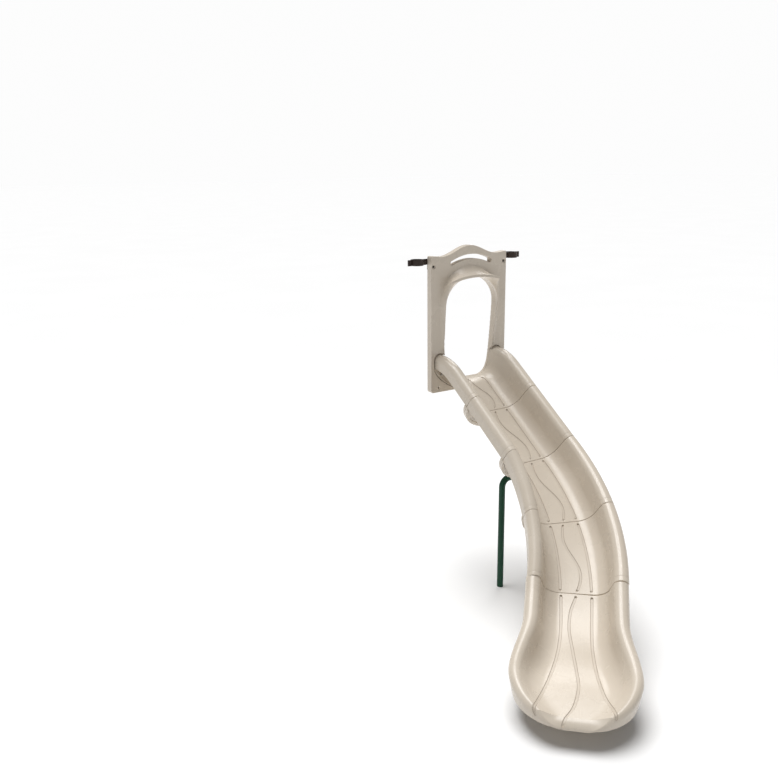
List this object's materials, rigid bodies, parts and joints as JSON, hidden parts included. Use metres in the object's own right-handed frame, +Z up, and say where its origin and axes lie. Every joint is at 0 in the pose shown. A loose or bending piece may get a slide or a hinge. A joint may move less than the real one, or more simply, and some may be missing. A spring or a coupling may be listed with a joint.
{
  "type": "wave slide",
  "caption": "Sectional open slide with wave grooves that bends sideways on its way down from a deck hood to a flared exit.",
  "frame": {"origin": "middle of the two deck bolt holes, on the hood's back face", "axes": "+Z up, +Y from the slide towards the deck, +X to the right for someone facing the deck; the slide runs down along -Y and bends towards -X"},
  "size_m": [1.7385, 2.6064, 2.568],
  "materials": {
    "chute_plastic": "rotomoulded polyethylene, warm beige, satin gloss with a light orange peel",
    "leg_green": "dark green powder coat on steel pipe",
    "clamp_brown": "dark brown powder coat on steel",
    "zinc_fastener": "zinc plated steel",
    "cap_black": "black plastic plug"
  },
  "bodies": {
    "root": {"hood_panel": "chute_plastic", "entry_section": "chute_plastic", "straight_section": "chute_plastic", "upper_curve_section": "chute_plastic", "lower_curve_section": "chute_plastic", "exit_section": "chute_plastic", "exit_foot": "chute_plastic", "exit_foot_screws": "zinc_fastener", "support_leg": "leg_green", "leg_bracket": "leg_green", "leg_end_cap": "cap_black", "left_clamp_rear": "clamp_brown", "left_clamp_front": "clamp_brown", "right_clamp_rear": "clamp_brown", "right_clamp_front": "clamp_brown", "clamp_bolts": "clamp_brown", "clamp_nuts": "clamp_brown", "hood_bolts": "zinc_fastener", "hood_nuts": "zinc_fastener", "entry_bolts": "zinc_fastener", "entry_nuts": "zinc_fastener", "joint_1_bolts": "zinc_fastener", "joint_1_washers": "zinc_fastener", "joint_1_nuts": "zinc_fastener", "joint_2_bolts": "zinc_fastener", "joint_2_washers": "zinc_fastener", "joint_2_nuts": "zinc_fastener", "joint_3_bolts": "zinc_fastener", "joint_3_washers": "zinc_fastener", "joint_3_nuts": "zinc_fastener", "joint_4_bolts": "zinc_fastener", "joint_4_washers": "zinc_fastener", "joint_4_nuts": "zinc_fastener"}
  },
  "joints": []
}
